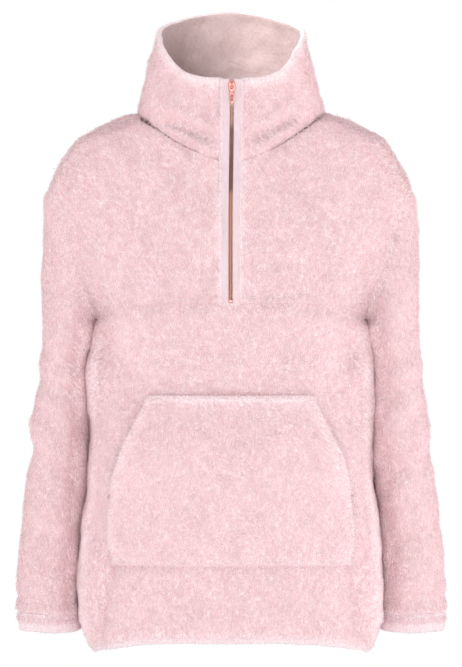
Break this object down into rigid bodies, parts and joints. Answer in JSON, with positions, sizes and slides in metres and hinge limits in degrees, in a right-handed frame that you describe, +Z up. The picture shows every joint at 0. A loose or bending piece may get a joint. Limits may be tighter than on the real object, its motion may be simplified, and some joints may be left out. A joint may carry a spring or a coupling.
{
  "type": "fleece top",
  "caption": "Long-sleeved plush fleece top in its worn, hollow form, with a high funnel collar, a metal half zip, a kangaroo pocket and narrow cuff and hem bands.",
  "frame": {"origin": "Between the shoulders, at the height where the shoulder slopes meet the neck: the place where the wearer holds the garment up.", "axes": "+Z up, the front with the zip faces -Y, +X is the wearer's left"},
  "size_m": [0.557, 0.2702, 0.8186],
  "materials": {
    "fleece": "long soft plush pile, pale pink with a whitish sheen",
    "binding": "short smooth nap",
    "zip_tape": "smooth woven tape, matte",
    "rose_gold": "polished rose gold plating"
  },
  "bodies": {
    "garment": {"front_upper_left": "fleece", "front_upper_right": "fleece", "front_lower": "fleece", "back": "fleece", "sleeve_left": "fleece", "sleeve_right": "fleece", "collar": "fleece", "pocket": "fleece", "cuff_left": "binding", "cuff_right": "binding", "hem_band": "binding", "zip_tape_left": "zip_tape", "zip_tape_right": "zip_tape", "zip_chain": "rose_gold", "zip_bottom_stop": "rose_gold", "zip_top_stop_left": "rose_gold", "zip_top_stop_right": "rose_gold", "zip_slider": "rose_gold"},
    "pull_tab": {"zip_pull": "rose_gold"}
  },
  "joints": [
    {"name": "pull_tab_swing", "type": "hinge", "parent": "garment", "child": "pull_tab", "pos_m": [0.0016, -0.09776, 0.03862], "axis": [-1, 0, 0], "range_deg": [0, 170]}
  ]
}
